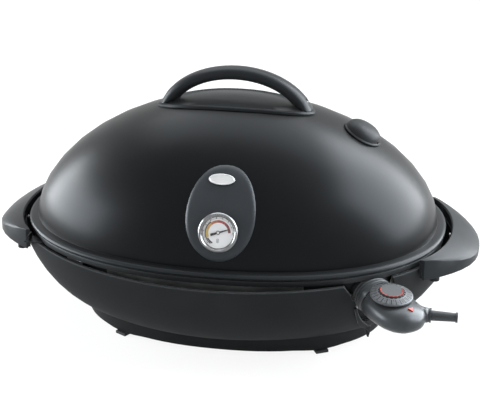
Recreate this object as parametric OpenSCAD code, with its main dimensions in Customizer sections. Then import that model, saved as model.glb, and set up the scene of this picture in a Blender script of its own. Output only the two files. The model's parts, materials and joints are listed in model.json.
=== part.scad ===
// Electric table grill: oval base, fixed grill plate, domed lid, plug-in heat control.
// Millimetres. +X right, +Y back, +Z up. Origin on the table under the centre.

/* [Base bowl] */
// Half length of the base rim
rim_a = 314; // [290:1:340]
// Half depth of the base rim
rim_b = 238; // [220:1:260]
// Height of the base rim above the table
rim_z = 137; // [120:1:160]
// Half length of the bowl at the groove
groove_a = 239; // [220:1:260]
// Half depth of the bowl at the groove
groove_b = 162.3; // [150:0.1:180]
// Height of the underside of the bowl
groove_z = 31.5; // [28:0.5:40]
// Wall thickness of the moulded base
base_wall = 3; // [2:0.1:4]
// Height of the feet under the foot ring
foot_h = 4.5; // [3:0.5:8]

/* [Grill plate] */
// Gap between the base rim and the plate rim at the ends
plate_gap_a = 16; // [14:1:20]
// Gap between the base rim and the plate rim at the front and back
plate_gap_b = 24; // [22:1:26]
// Height of the underside of the plate
plate_z = 110; // [100:1:115]
// Thickness of the plate floor
plate_t = 6; // [4:0.5:10]
// Distance between cooking ribs
rib_pitch = 17; // [12:0.5:24]
// Height of the cooking ribs
rib_h = 5; // [3:0.5:8]

/* [Lid] */
// How far the lid bead reaches past the plate rim
bead_over = 2; // [0.5:0.5:4]
// Height of the dome above the bead
dome_h = 174.3; // [150:0.1:200]
// Thickness of the lid sheet
lid_t = 2; // [1.2:0.1:3]

/* [Lid handle] */
// Half length of the handle arch centreline
arch_a = 102; // [90:1:115]
// Height of the arch centreline above the dome
arch_rise = 33.9; // [28:0.1:45]
// Half width of the grip, front to back
grip_w = 15; // [12:0.5:20]
// Half thickness of the grip
grip_t = 9; // [7:0.5:12]

/* [Side handles] */
// How far a side handle reaches past the base rim
wing_reach = 34; // [24:1:45]
// Half depth of a side handle
wing_y = 123; // [105:1:128]
// Height of a side handle above the base rim
wing_rise = 14; // [9:1:18]
// Depth of a side handle below the base rim
wing_drop = 16; // [12:1:22]

/* [Thermometer] */
// Diameter of the thermometer bezel
bezel_d = 53; // [46:1:60]
// Height of the thermometer centre above the foot of the dome
gauge_up = 48.5; // [44:0.5:54]
// Distance of the thermometer right of the centre
gauge_x = 14; // [8:1:20]

/* [Heat control] */
// Direction in which the control points
ctl_angle = -48; // [-52:1:-44]
// Diameter of the dial skirt
dial_d = 56; // [48:1:60]
// Height of the dial top above the plug pins
dial_up = 38; // [36:0.5:41]
// Pull-out travel of the control
plug_travel = 90; // [60:1:120]
// Diameter of the cord sleeve
sleeve_d = 13; // [10:0.5:16]

/* [Hinge] */
// Diameter of the hinge rod
rod_d = 6; // [5:0.5:8]
// Distance from the centre to each lid lug
lug_x = 78; // [70:1:84]

/* [Drip tray] */
// Width of the drip tray
tray_w = 108; // [90:1:116]
// Height of the drip tray
tray_h = 22; // [16:1:24]

/* [Hidden] */
$fn = 64;

gap = 0.3;              // seat between neighbouring pieces
bowl_n = 1.9;           // plan roundness of the base
ring_n = 2.2;           // plan roundness of the foot ring
lid_n = 2.2;            // plan roundness of the lid and plate
bowl_k = 1.5;           // swell of the bowl wall
dome_m = 1.8;           // profile of the dome
seg_bowl = 80;
seg_lid = 84;
seg_small = 40;
dial_cx = rim_a - 73;   // place of the heat control on the base
dial_cy = 45 - rim_b;

// ---- superellipse helpers ----
function sgn(v) = v < 0 ? -1 : 1;
function arc_x(a, n, t) = a * sgn(cos(t)) * pow(abs(cos(t)), 2 / n);
function arc_y(b, n, t) = b * sgn(sin(t)) * pow(abs(sin(t)), 2 / n);
function ring(a, b, n, z, seg) =
  [for (i = [0 : seg - 1]) let (t = 360 * i / seg) [arc_x(a, n, t), arc_y(b, n, t), z]];
function side_x(a, b, n, y) = a * pow(max(1 - pow(abs(y) / b, n), 0), 1 / n);
function side_y(a, b, n, x) = b * pow(max(1 - pow(abs(x) / a, n), 0), 1 / n);

// Skin over a closed path of rings. The step after ring number cut is replaced by two caps.
module skin(rings, cut = -1, fan = false) {
  m = len(rings);
  n = len(rings[0]);
  e = (cut + 1) % m;
  sides = [for (j = [0 : m - 1]) if (j != cut) let (k = (j + 1) % m)
    for (i = [0 : n - 1]) let (h = (i + 1) % n, a = j * n + i, b = j * n + h, c = k * n + h,
      d = k * n + i)
      each [[a, d, c], [a, c, b]]];
  flat = cut < 0 ? [] : [[for (i = [n - 1 : -1 : 0]) cut * n + i], [for (i = [0 : n - 1]) e * n + i]];
  fans = cut < 0 ? [] : [for (i = [1 : n - 2]) each
    [[cut * n, cut * n + i + 1, cut * n + i], [e * n, e * n + i, e * n + i + 1]]];
  polyhedron(points = [for (r = rings) each r], faces = concat(sides, fan ? fans : flat), convexity = 6);
}

// Curved wall piece between two plan angles, with offsets from a surface given by its half sizes.
function strip(a, b, n, z, t0, t1, seg, out, in) = concat(
  [for (i = [0 : seg]) let (t = t0 + (t1 - t0) * i / seg) [arc_x(a + out, n, t), arc_y(b + out, n, t),
    z]],
  [for (i = [seg : -1 : 0]) let (t = t0 + (t1 - t0) * i / seg) [arc_x(a + in, n, t), arc_y(b + in, n, t),
    z]]);

// ---- base bowl surface ----
function bowl_t(z) = min(max((z - groove_z) / (rim_z - groove_z), 0), 1);
function bowl_f(z) = pow(1 - pow(1 - bowl_t(z), bowl_k), 1 / bowl_k);
function bowl_a(z) = groove_a + (rim_a - groove_a) * bowl_f(z);
function bowl_b(z) = groove_b + (rim_b - groove_b) * bowl_f(z);
function bowl_y(x, z) = side_y(bowl_a(z), bowl_b(z), bowl_n, x);
floor_z = groove_z + base_wall;
rim_lip = 4.5;          // width of the flat rim edge
rim_drop = 2.5;         // depth of the rim edge

// ---- heights that stack up under the lid ----
plate_a = rim_a - plate_gap_a;          // plan of the plate rim
plate_b = rim_b - plate_gap_b;
bead_a = plate_a + bead_over;           // plan of the lid bead
bead_b = plate_b + bead_over;
shield_z = rim_z - 1;                   // top of the heat shield
band_z = shield_z + gap;                // underside of the plate rim
plate_rise = 7.3;
plate_top = rim_z + plate_rise;         // top of the plate rim
bead_low = plate_top + gap;             // underside of the lid bead
bead_z = bead_low + 3.7;                // height of the widest line of the bead
dome_z0 = bead_z + 4.2;                 // foot of the dome
dome_in = 12.5;                         // bead width outside the dome
dome_a = bead_a - dome_in;
dome_b = bead_b - dome_in - 0.5;
dome_top = dome_z0 + dome_h;
shield_a = plate_a - 1;
shield_b = plate_b - 1;
shield_t = 1.6;
shield_low = 70;                        // underside of the heat shield
shield_lean = 35;                       // inward lean of the shield wall
body_in = 7;                            // inset of the plate body from its rim

// ---- dome surface ----
function dome_r(x, y) = pow(pow(abs(x) / dome_a, lid_n) + pow(abs(y) / dome_b, lid_n), 1 / lid_n);
function dome_z(x, y) = dome_z0 + dome_h * pow(max(1 - pow(dome_r(x, y), dome_m), 0), 1 / dome_m);
function dome_c(z) = pow(max(1 - pow((z - dome_z0) / dome_h, dome_m), 0), 1 / dome_m);
function dome_y(x, z) = -dome_b * pow(max(pow(dome_c(z), lid_n) - pow(abs(x) / dome_a, lid_n), 0),
  1 / lid_n);
function dome_tilt(x) = atan((dome_z(x - 1, 0) - dome_z(x + 1, 0)) / 2);

// ======================= base =======================
bowl_out_z = [groove_z, 36, 43, 52, 64, 79, 96, 114, 128];
bowl_in_z = [120, 102, 84, 68, 55, 45, 38];

tray_gap = 1.5;
tray_low = floor_z + 3;
tray_top = tray_low + tray_h;
tray_t = 1.5;
tray_y0 = 22;           // front end of the tray
drain_y = 150;
drain_r = 7;

foot_dip = 2.5;         // how far the foot ring comes down over each foot
dip_half = 36;          // half length of that stretch
ring_z0 = foot_h + foot_dip;
ring_z1 = groove_z - gap;
ring_a1 = groove_a - 12;
ring_b1 = groove_b - 4;
ring_a0 = ring_a1 - 9;
ring_b0 = ring_b1 - 9;
ring_wall = 4;
foot_x = ring_a0 - 77;
foot_y = side_y(ring_a0, ring_b0, ring_n, foot_x) - 6.5;
foot_r = 5.5;
foot_turn = 30;         // the feet lie along the ring
screw_r = 1.7;
lug_r = 8;
ring_lugs = [[ring_a0 - 5, 0], [5 - ring_a0, 0], [0, ring_b0 - 5], [0, 5 - ring_b0]];

post_x = 150;
post_y = 90;
post_r = 7;
posts = [for (i = [-1, 1], j = [-1, 1]) [i * post_x, j * post_y]];

wing_screw_y = 25;      // side handle screws, from the centre
wing_screw_z = rim_z - 7;
wing_screw_x = side_x(bowl_a(wing_screw_z - 3) - base_wall, bowl_b(wing_screw_z - 3) - base_wall, bowl_n,
  wing_screw_y) - 2.6;
module at_wing_screws() {
  for (i = [-1, 1], j = [-1, 1]) translate([i * wing_screw_x, j * wing_screw_y, wing_screw_z])
    rotate([0, i * 90, 0])
    children();
}

// Control bay: the cut-out in the front right of the bowl
bay_x0 = dial_cx - 47;
bay_x1 = dial_cx + 3;
bay_z0 = rim_z - 77;
bay_z1 = rim_z - 35;    // height at which the side edges start to lean
bay_lean = 17;          // how far the left edge moves out at the rim

hinge_y = rim_b - 16;
hinge_z = rim_z + 14;
bracket_x = 95;
bracket_w = 12;
bracket_screw_z = rim_z - 14;

module bay_cut() {
  z1 = rim_z + 5;
  translate([0, -90, 0]) rotate([90, 0, 0]) linear_extrude(height = 140)
    polygon([[bay_x0, bay_z0], [bay_x1, bay_z0], [bay_x1, bay_z1], [bay_x1 - 5, z1],
      [bay_x0 - bay_lean - 1, z1], [bay_x0 - 8, rim_z - 12], [bay_x0, bay_z1]]);
}

module tray_slot() {
  w = tray_w + 2 * tray_gap;
  translate([-w / 2, 120, tray_low - tray_gap]) cube([w, 100, tray_h + 2 * tray_gap]);
}

module base_bowl() {
  outer = concat([for (z = bowl_out_z) ring(bowl_a(z), bowl_b(z), bowl_n, z, seg_bowl)],
    [ring(rim_a, rim_b, bowl_n, rim_z - 1, seg_bowl), ring(rim_a - 0.6, rim_b - 0.6, bowl_n, rim_z,
      seg_bowl)]);
  inner = concat([ring(rim_a - rim_lip, rim_b - rim_lip, bowl_n, rim_z, seg_bowl),
    ring(rim_a - base_wall, rim_b - base_wall, bowl_n, rim_z - rim_drop - base_wall, seg_bowl)],
    [for (z = bowl_in_z) ring(bowl_a(z) - base_wall, bowl_b(z) - base_wall, bowl_n, z, seg_bowl)],
    [ring(groove_a + 4, groove_b + 4, bowl_n, floor_z, seg_bowl)]);
  color("dimgray") difference() {
    skin(concat(outer, inner), len(outer) + len(inner) - 1);
    bay_cut();
    tray_slot();
    for (p = ring_lugs) translate([p[0], p[1], groove_z - 1]) cylinder(r = screw_r, h = base_wall + 2);
    for (p = posts) translate([p[0], p[1], groove_z - 1]) cylinder(r = screw_r, h = base_wall + 2);
    at_wing_screws() cylinder(r = screw_r, h = 8);
    for (i = [-1, 1]) translate([i * bracket_x, 190, bracket_screw_z]) rotate([-90, 0, 0])
      cylinder(r = screw_r, h = 60);
  }
}

module at_feet() {
  for (i = [0, 1], j = [0, 1]) mirror([i, 0, 0]) mirror([0, j, 0]) translate([foot_x, foot_y, 0])
    rotate([0, 0, -foot_turn]) children();
}

// Ring of points whose height drops smoothly by d over each foot
function dipped(a, b, z, d) = [for (p = ring(a, b, ring_n, z, seg_bowl))
  let (u = min(abs(abs(p[0]) - foot_x) / dip_half, 1)) [p[0], p[1], z - d * pow(1 - u * u, 2)]];

module foot_ring() {
  color("dimgray") difference() {
    union() {
      skin([dipped(ring_a0, ring_b0, ring_z0, foot_dip), ring(ring_a1, ring_b1, ring_n, ring_z1, seg_bowl),
        ring(ring_a1 - ring_wall, ring_b1 - ring_wall, ring_n, ring_z1, seg_bowl),
        dipped(ring_a0 - ring_wall, ring_b0 - ring_wall, ring_z0, foot_dip)]);
      for (p = ring_lugs) translate([p[0], p[1], ring_z1 - 12]) cylinder(r = lug_r, h = 12);
      at_feet() translate([0, 0, foot_h - gap]) cylinder(r = foot_r, h = 13);
    }
    for (p = ring_lugs) translate([p[0], p[1], 0]) cylinder(r = screw_r, h = groove_z);
    at_feet() cylinder(r = 2.6, h = foot_h + 6);
  }
}

module rubber_feet() {
  color("black") at_feet() {
    translate([-9, -4, 0]) cube([18, 12, foot_h - 2 * gap]);
    cylinder(r = 2.5, h = foot_h + 5);
  }
}

module screw_up(len, head_r) {
  cylinder(r = head_r, h = 2);
  translate([0, 0, 1]) cylinder(r = screw_r - 0.05, h = len - 1);
}

module ring_screws() {
  color("silver") for (p = ring_lugs) translate([p[0], p[1], ring_z1 - 14.3]) screw_up(14.3 + base_wall,
    3.2);
}

// ---- side handles: crescents standing on the rim ----
wing_in_a = bead_a + 8;
wing_in_b = bead_b + 6;
wing_x = rim_a + wing_reach;
wing_root = rim_a - 46;
wing_top = rim_z + wing_rise;
wing_low = rim_z - wing_drop;
wing_edge = wing_top - 21;
wing_seat = rim_z + gap;
wing_end = 0.945;       // where the handle ends, as a share of its half depth
tab_y = 0.78 * wing_y;  // small tabs under each handle
tab_r = 7;
function wing_out(y) = wing_root + (wing_x - wing_root) * (1 - pow(abs(y) / wing_y, 2.45));
function wing_in(y) = side_x(wing_in_a, wing_in_b, lid_n, y);
function wing_rim(y) = side_x(rim_a + 0.5, rim_b + 0.5, bowl_n, y);
function wing_edge_z(x) =
  wing_top - (wing_top - wing_edge) * pow(max((x - wing_root) / (wing_x - wing_root), 0), 1.5);
function wing_face(y, f) = wing_top + (wing_edge_z(wing_out(y)) - wing_top) * pow(f, 1.3);
function wing_ring(y, hollow) = let (
    xi = wing_in(y), xo = wing_out(y), w = xo - xi,
    xh = max(wing_rim(y), xi + 0.1 * w), free = xo - xh,
    xc = xh + min(4, 0.3 * free), xl = xo - min(3.5, 0.3 * free),
    fc = (xc - xi) / w, fl = (xl - xi) / w,
    zc = hollow ? wing_face(y, fc) - 4 : wing_low + 1.2,
    zl = hollow ? wing_face(y, fl) - 4 : wing_low + 1.2)
  [[xi, y, wing_seat], [xh, y, wing_seat], [xh, y, wing_low + 3], [xc, y, wing_low + 3.2],
   [xc + 0.01, y, max(zc, wing_low + 3.4)], [xl - 0.01, y, max(zl, wing_low + 1)],
   [xl, y, wing_low], [xo, y, wing_low],
   [xo, y, wing_face(y, 1) - 2], [xo - min(2, 0.1 * w), y, wing_face(y, 1) + 0.4],
   [xi + 0.75 * w, y, wing_face(y, 0.75)], [xi + 0.5 * w, y, wing_face(y, 0.5)],
   [xi + 0.25 * w, y, wing_face(y, 0.25)], [xi + min(2, 0.1 * w), y, wing_top],
   [xi, y, wing_top - 2]];
wing_half = [0.15, 0.3, 0.44, 0.58, 0.7, 0.8, 0.88, 0.93, wing_end];
wing_steps = concat([for (i = [len(wing_half) - 1 : -1 : 0]) -wing_half[i]], [0], wing_half);
// Tongue on the rim in front of the left handle, with a low upright rib
tongue_y0 = -wing_y * wing_end - 15;
tongue_y1 = -wing_y * wing_end + 5;
tongue_out = wing_in(tongue_y1) + 2.6;
function tongue_in(y) = side_x(plate_a + 1.6, plate_b + 1.6, lid_n, y);
module rim_tongue() {
  mirror([1, 0, 0]) translate([0, 0, wing_seat + 0.2]) {
    linear_extrude(height = 1.6)
      polygon([[tongue_in(tongue_y0), tongue_y0], [tongue_in(tongue_y1), tongue_y1], [tongue_out,
        tongue_y1],
        [tongue_out - 1, tongue_y0]]);
    translate([tongue_out - 8, tongue_y0 + 2, 1]) cube([1.6, tongue_y1 - tongue_y0 - 6, wing_rise - 5.2]);
  }
}

module side_handle(side) {
  n = len(wing_steps);
  color("dimgray") difference() {
    union() {
      difference() {
        mirror([side > 0 ? 0 : 1, 0, 0])
          skin([for (i = [n - 1 : -1 : 0]) wing_ring(wing_steps[i] * wing_y, abs(wing_steps[i]) < 0.75)],
            n - 1);
        translate([-wing_x, -wing_y, 0]) cube([wing_x, wing_y * (1 - wing_end) + 0.5, wing_top + 10]);
      }
      for (j = [-1, 1]) translate([side * (wing_out(tab_y) - 13), j * tab_y, wing_low - 6.5])
        cylinder(r = tab_r, h = 8.5);
      if (side < 0) rim_tongue();
    }
    at_wing_screws() cylinder(r = screw_r, h = 14);
  }
}

module side_handle_left() { side_handle(-1); }
module side_handle_right() { side_handle(1); }

module side_handle_screws() {
  color("silver") at_wing_screws() screw_up(9.6, 3.2);
}

// ---- heat shield ----
function shield_in(z) = shield_lean * pow((shield_z - z) / (shield_z - shield_low), 1.4);
shield_zs = [shield_low, shield_low + 8, shield_low + 22, shield_low + 40, shield_z - 6, shield_z];
module heat_shield() {
  outer = [for (z = shield_zs) ring(shield_a - shield_in(z), shield_b - shield_in(z), lid_n, z,
    seg_bowl)];
  inner = [for (i = [len(shield_zs) - 1 : -1 : 0]) let (z = shield_zs[i])
    ring(shield_a - shield_in(z) - shield_t, shield_b - shield_in(z) - shield_t, lid_n,
      i == 0 ? shield_low + shield_t : z, seg_bowl)];
  color("gray") difference() {
    skin(concat(outer, inner), len(outer) + len(inner) - 1);
    for (j = [-1, 1]) {
      translate([-258, j > 0 ? 60 : -230, shield_z - 16]) cube([54, 170, 30]);
      translate([-178, j > 0 ? 60 : -230, shield_z - 16]) cube([39, 170, 30]);
    }
    translate([127, -230, shield_z - 16]) cube([88, 170, 30]);
    translate([139, 60, shield_z - 16]) cube([60, 170, 30]);
    at_control() translate([-86, -ctl_port / 2, 86]) cube([80, ctl_port, 60]);
    translate([0, drain_y, shield_low - 1]) cylinder(r = 15, h = 4);
    for (p = posts) translate([p[0], p[1], shield_low - 1]) cylinder(r = screw_r, h = 4);
  }
}

module shield_posts() {
  color("gray") for (p = posts) translate([p[0], p[1], floor_z + 0.1]) difference() {
    cylinder(r = post_r, h = shield_low - floor_z - 0.3);
    translate([0, 0, -1]) cylinder(r = screw_r, h = shield_low);
  }
}

module post_screws() {
  color("silver") for (p = posts) {
    translate([p[0], p[1], groove_z - 2.1]) screw_up(14, 3.2);
    translate([p[0], p[1], shield_low + shield_t + 2.1]) mirror([0, 0, 1]) screw_up(12, 3.2);
  }
}

// ---- wall and floor that close the control bay ----
bay_deep = 12;
bay_t = 2;
bay_top = rim_z - 47;
bay_zs = [bay_z0 + 8, bay_z0 + 18, bay_top];
bay_seat = base_wall + 0.9;
bay_path = concat([[-bay_seat, bay_z0 - 1], [-bay_deep, bay_z0 - 1]], [for (z = bay_zs) [-bay_deep, z]],
  [for (i = [len(bay_zs) - 1 : -1 : 0]) [bay_t - bay_deep, bay_zs[i]]],
  [[bay_t - bay_deep, bay_z0 + 1], [-bay_seat, bay_z0 + 1]]);
module bay_wall() {
  color("black") skin([for (t = [294 : 2 : 334]) [for (p = bay_path)
    [arc_x(bowl_a(p[1]) + p[0], bowl_n, t), arc_y(bowl_b(p[1]) + p[0], bowl_n, t), p[1]]]], 20);
}
// Flange that runs down the left edge of the bay and hangs below the bowl
rib_top = rim_z - 40;
rib_low = 38;
rib_out = 3.5;
rib_zs = [rib_top, rib_top - 12, rib_top - 24, rib_top - 34, rib_top - 43, rib_top - 52, rib_low];
function rib_x(z) = bay_x0 + 11 * pow((rib_top - z) / (rib_top - rib_low), 1.6);
function rib_w(z) = 1.6 + 2.4 * min(pow((rib_top - z) / 42, 2), 1);
function rib_ring(z) = let (x = rib_x(z), w = rib_w(z), y0 = -bowl_y(x - w, z), y1 = -bowl_y(x + w, z))
  [[x - w, y0 - gap, z], [x + w, y1 - gap, z], [x + w, y1 - rib_out, z], [x - w, y0 - rib_out, z]];
module bay_rib() {
  x = rib_x(rib_low);
  y = -bowl_y(x + rib_w(rib_low), rib_low) - rib_out;
  tip = [[x - 3, y + 1, rib_low - 9], [x + 3, y + 1, rib_low - 9], [x + 3, y - 2.5, rib_low - 9],
    [x - 3, y - 2.5, rib_low - 9]];
  end = [[x - 1, y + 3.5, rib_low - 18], [x + 1, y + 3.5, rib_low - 18], [x + 1, y + 1, rib_low - 18],
    [x - 1, y + 1, rib_low - 18]];
  rings = concat([for (z = rib_zs) rib_ring(z)], [tip, end]);
  color("dimgray") skin([for (i = [len(rings) - 1 : -1 : 0]) rings[i]], len(rings) - 1);
}

// ---- grill plate ----
plate_floor = plate_z + plate_t;
function body_a(z) = plate_a - body_in - (z > band_z ? 0 : 15 * pow((band_z - z) / (band_z - plate_z),
  2.2));
function body_b(z) = plate_b - body_in - (z > band_z ? 0 : 15 * pow((band_z - z) / (band_z - plate_z),
  2.2));
ribs = floor((plate_a - 34) / rib_pitch);
module grill_plate() {
  outer = [ring(body_a(plate_z), body_b(plate_z), lid_n, plate_z, seg_lid),
    ring(body_a(plate_z + 4), body_b(plate_z + 4), lid_n, plate_z + 4, seg_lid),
    ring(body_a(plate_z + 12), body_b(plate_z + 12), lid_n, plate_z + 12, seg_lid),
    ring(body_a(band_z), body_b(band_z), lid_n, band_z, seg_lid),
    ring(plate_a - 0.4, plate_b - 0.4, lid_n, band_z, seg_lid),
    ring(plate_a, plate_b, lid_n, band_z + 1, seg_lid),
    ring(plate_a, plate_b, lid_n, plate_top - 1, seg_lid),
    ring(plate_a - 1, plate_b - 1, lid_n, plate_top, seg_lid)];
  inner = [ring(plate_a - 6, plate_b - 6, lid_n, plate_top, seg_lid),
    ring(plate_a - 10, plate_b - 10, lid_n, band_z, seg_lid),
    ring(plate_a - 18, plate_b - 18, lid_n, plate_floor + 3, seg_lid),
    ring(plate_a - 24, plate_b - 24, lid_n, plate_floor, seg_lid)];
  color("darkslategray") difference() {
    union() {
      skin(concat(outer, inner), len(outer) + len(inner) - 1);
      for (i = [-ribs : ribs]) {
        half = side_y(plate_a - 28, plate_b - 28, lid_n, i * rib_pitch);
        back = abs(i * rib_pitch) < 26 ? drain_y - 20 : half;
        translate([i * rib_pitch - 1.6, -half, plate_floor - 0.5]) cube([3.2, half + back, rib_h + 0.5]);
      }
      translate([0, drain_y, plate_z - 12]) cylinder(r = drain_r + 2, h = 13);
    }
    translate([0, drain_y, plate_z - 13]) cylinder(r = drain_r, h = 30);
  }
}

// ---- heating element: a tube loop under the plate ----
tube_r = 4;
tube_z = plate_z - gap - tube_r;
loop_x = 205;
loop_y = 125;
loop_r = 85;
pin_y = 11;             // pins left and right of the control axis
block_s0 = -78;
block_s1 = -57;
block_w = 17;
plug_z = plate_z - 8;   // height of the pins and the probe
function ctl_pt(s, o) = [dial_cx + s * cos(ctl_angle) - o * sin(ctl_angle),
  dial_cy + s * sin(ctl_angle) + o * cos(ctl_angle)];
loop_cx = loop_x - loop_r;
loop_cy = loop_y - loop_r;
function loop_arc(i, j, t0, t1, k) = [for (u = [0 : k]) let (t = t0 + (t1 - t0) * u / k)
  [i * loop_cx + loop_r * cos(t), j * loop_cy + loop_r * sin(t)]];
function bend(p, q, r) = [for (u = [0.1, 0.37, 0.63, 0.9])
  p * (1 - u) * (1 - u) + q * 2 * u * (1 - u) + r * u * u];
lead_a = ctl_pt(block_s0 - 4, -pin_y);
lead_b = ctl_pt(block_s0 - 4, pin_y);
knee_a = loop_arc(1, -1, -64, -64, 1)[0];
knee_b = loop_arc(1, -1, -42, -42, 1)[0];
loop_path = concat([ctl_pt(block_s0 - 0.5, -pin_y), lead_a], bend(lead_a * 0.6 + knee_a * 0.4, knee_a,
  loop_arc(1, -1, -80, -80, 1)[0]),
  loop_arc(-1, -1, -90, -180, 7), loop_arc(-1, 1, 180, 90, 7), loop_arc(1, 1, 90, 0, 7), loop_arc(1, -1,
    0, -20, 2),
  bend(loop_arc(1, -1, -26, -26, 1)[0], knee_b, lead_b * 0.6 + knee_b * 0.4),
    [lead_b, ctl_pt(block_s0 - 0.5, pin_y)]);
function unit(v) = v / norm(v);
module heating_element() {
  n = len(loop_path);
  color("silver") skin([for (i = [0 : n - 1]) let (p = loop_path[i],
    d = unit(loop_path[min(i + 1, n - 1)] - loop_path[max(i - 1, 0)]))
    [for (q = [0 : 36 : 324]) [p[0] - d[1] * tube_r * cos(q), p[1] + d[0] * tube_r * cos(q),
      tube_z + tube_r * sin(q)]]],
    n - 1);
}

clip_pts = [[0, loop_y, 0], [0, -loop_y, 0], [-loop_x, 0, 90], [loop_x, 0, 90]];
module element_clips() {
  low = tube_z - tube_r - 0.2;
  color("gray") for (p = clip_pts) translate([p[0], p[1], 0]) rotate([0, 0, p[2]]) {
    translate([-6, -12, low - 1.5]) cube([12, 24, 1.5]);
    for (j = [-1, 1]) translate([-6, j * 7 - 1.5, low - 0.2]) cube([12, 3, plate_z - gap - low + 0.2]);
  }
}

module terminal_block() {
  color("ivory") at_control() difference() {
    translate([block_s0, -block_w, plug_z - 9]) cube([block_s1 - block_s0, 2 * block_w,
      plate_z - gap - plug_z + 9]);
    translate([block_s0 - 1, 0, plug_z]) rotate([0, 90, 0]) cylinder(r = 3.6, h = 40);
    for (j = [-1, 1]) translate([block_s0 - 1, j * pin_y, plug_z]) rotate([0, 90, 0])
      cylinder(r = 2.05, h = 40);
  }
}
module terminal_pins() {
  color("silver") at_control() for (j = [-1, 1]) translate([block_s0, j * pin_y, plug_z])
    rotate([0, 90, 0]) {
    cylinder(r = 2, h = 38);
    translate([0, 0, 38]) cylinder(r1 = 2, r2 = 1, h = 2);
  }
}

// ---- hinge brackets, open at the top so that the lid lifts off ----
slot_r = rod_d / 2 + gap;
module hinge_bracket(side) {
  x0 = side * bracket_x - bracket_w / 2;
  xo = bracket_x + bracket_w / 2;
  yi = side_y(plate_a, plate_b, lid_n, bracket_x - bracket_w / 2) + 1.5;
  yw = side_y(rim_a - rim_lip, rim_b - rim_lip, bowl_n, xo) - 0.6;
  yl = bowl_y(xo, rim_z - 24) - base_wall - gap;
  color("gray") difference() {
    translate([x0, 0, 0]) rotate([90, 0, 90]) linear_extrude(height = bracket_w)
      polygon([[yi, rim_z - 24], [yl, rim_z - 24], [yw, rim_z - 6], [yw, rim_z + gap], [hinge_y + 6.5,
        rim_z + gap],
        [hinge_y + 6.5, hinge_z + 6], [hinge_y + 4.5, hinge_z + 7], [hinge_y - 4.5, hinge_z + 7],
        [hinge_y - 6.5, hinge_z + 6], [hinge_y - 6.5, rim_z + 2.5], [yi, rim_z + 2.5]]);
    translate([x0 - 1, hinge_y, hinge_z]) rotate([0, 90, 0]) cylinder(r = slot_r, h = bracket_w + 2);
    translate([x0 - 1, hinge_y - slot_r, hinge_z]) cube([bracket_w + 2, 2 * slot_r, 20]);
    translate([side * bracket_x, yl - 20, bracket_screw_z]) rotate([-90, 0, 0]) cylinder(r = screw_r,
      h = 50);
  }
}
module hinge_bracket_left() { hinge_bracket(-1); }
module hinge_bracket_right() { hinge_bracket(1); }
module bracket_screws() {
  y1 = bowl_y(bracket_x, bracket_screw_z) + 3;
  color("silver") for (i = [-1, 1]) translate([i * bracket_x, y1, bracket_screw_z]) rotate([90, 0, 0])
    screw_up(16, 3.2);
}

// ---- drip tray ----
module tray_runners() {
  color("gray") for (i = [-1, 1]) translate([i * (tray_w / 2 + tray_gap + 2), tray_y0, floor_z + 0.1]) {
    translate([-2, 0, 0]) cube([4, 128, 9]);
    translate([i > 0 ? -8 : -2, 0, 0]) cube([10, 128, 2.4]);
  }
}
module drip_tray() {
  y0 = bowl_y(tray_w / 2, tray_low) + gap;
  y1 = bowl_y(tray_w / 2, tray_top) + gap;
  k = (y1 - y0) / tray_h;
  color("lightgray") difference() {
    translate([-tray_w / 2, 0, 0]) rotate([90, 0, 90]) linear_extrude(height = tray_w)
      polygon([[tray_y0, tray_low], [y0, tray_low], [y1, tray_top], [tray_y0, tray_top]]);
    translate([tray_t - tray_w / 2, 0, 0]) rotate([90, 0, 90])
      linear_extrude(height = tray_w - 2 * tray_t)
      polygon([[tray_y0 + tray_t, tray_low + tray_t], [y0 - 2 + k * tray_t, tray_low + tray_t],
        [y1 - 2 + k * 2, tray_top + 2], [tray_y0 + tray_t, tray_top + 2]]);
  }
}
module tray_panel() {
  zs = [tray_low - 3, tray_low + 4, tray_low + tray_h / 2, tray_top + 4];
  reach = asin(min((tray_w / 2 + 8) / bowl_a(tray_low), 1)) * 1.05;
  color("dimgray") {
    skin([for (z = zs) strip(bowl_a(z), bowl_b(z), bowl_n, z, 90 - reach, 90 + reach, 14, 3.9, 0.9)],
      len(zs) - 1);
    translate([-26, bowl_b(tray_top - 6) + 2, tray_top - 9]) cube([52, 14, 4]);
  }
}

// ======================= hinge rod =======================
rod_half = bracket_x + bracket_w / 2 + 12;
module hinge_rod() {
  color("silver") translate([-rod_half, hinge_y, hinge_z]) rotate([0, 90, 0]) cylinder(r = rod_d / 2,
    h = 2 * rod_half);
}
module rod_caps() {
  color("black") for (i = [-1, 1]) translate([i * (bracket_x + bracket_w / 2 + 8.5), hinge_y, hinge_z])
    rotate([0, 90, 0])
    difference() {
      cylinder(r = 5.5, h = 7, center = true);
      cylinder(r = rod_d / 2 + 0.03, h = 9, center = true);
    }
}

// ======================= lid =======================
grip_x = 96;            // lid handle screws, from the centre
stem_hole = 4.2;
gauge_z = dome_z0 + gauge_up;
gauge_y = dome_y(gauge_x, gauge_z);
gauge_el = 23;
gauge_az = 1;
vent_x = 177;
vent_y = 4;
vent_a = 25;
vent_b = 30;
vent_h = 15;            // height of the vent cover along its own axis
vent_holes = 4;
vent_hole_r = 4.5;
vent_ring = 12;
vent_turn = 45;
lug_w = 5;
rivet_r = 2;
rivet_dx = 8;
rivet_y0 = bead_b - 11; // lug feet stand on the flat behind the bead

module at_gauge() { translate([gauge_x, gauge_y, gauge_z]) rotate([90 - gauge_el, 0, gauge_az])
  children(); }
module at_vent() {
  translate([vent_x, vent_y, dome_z(vent_x, vent_y)]) rotate([-2, dome_tilt(vent_x), 0]) children();
}
module at_grip(side) {
  translate([side * grip_x, 0, dome_z(grip_x, 0)]) rotate([0, side * dome_tilt(grip_x), 0]) children();
}

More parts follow.
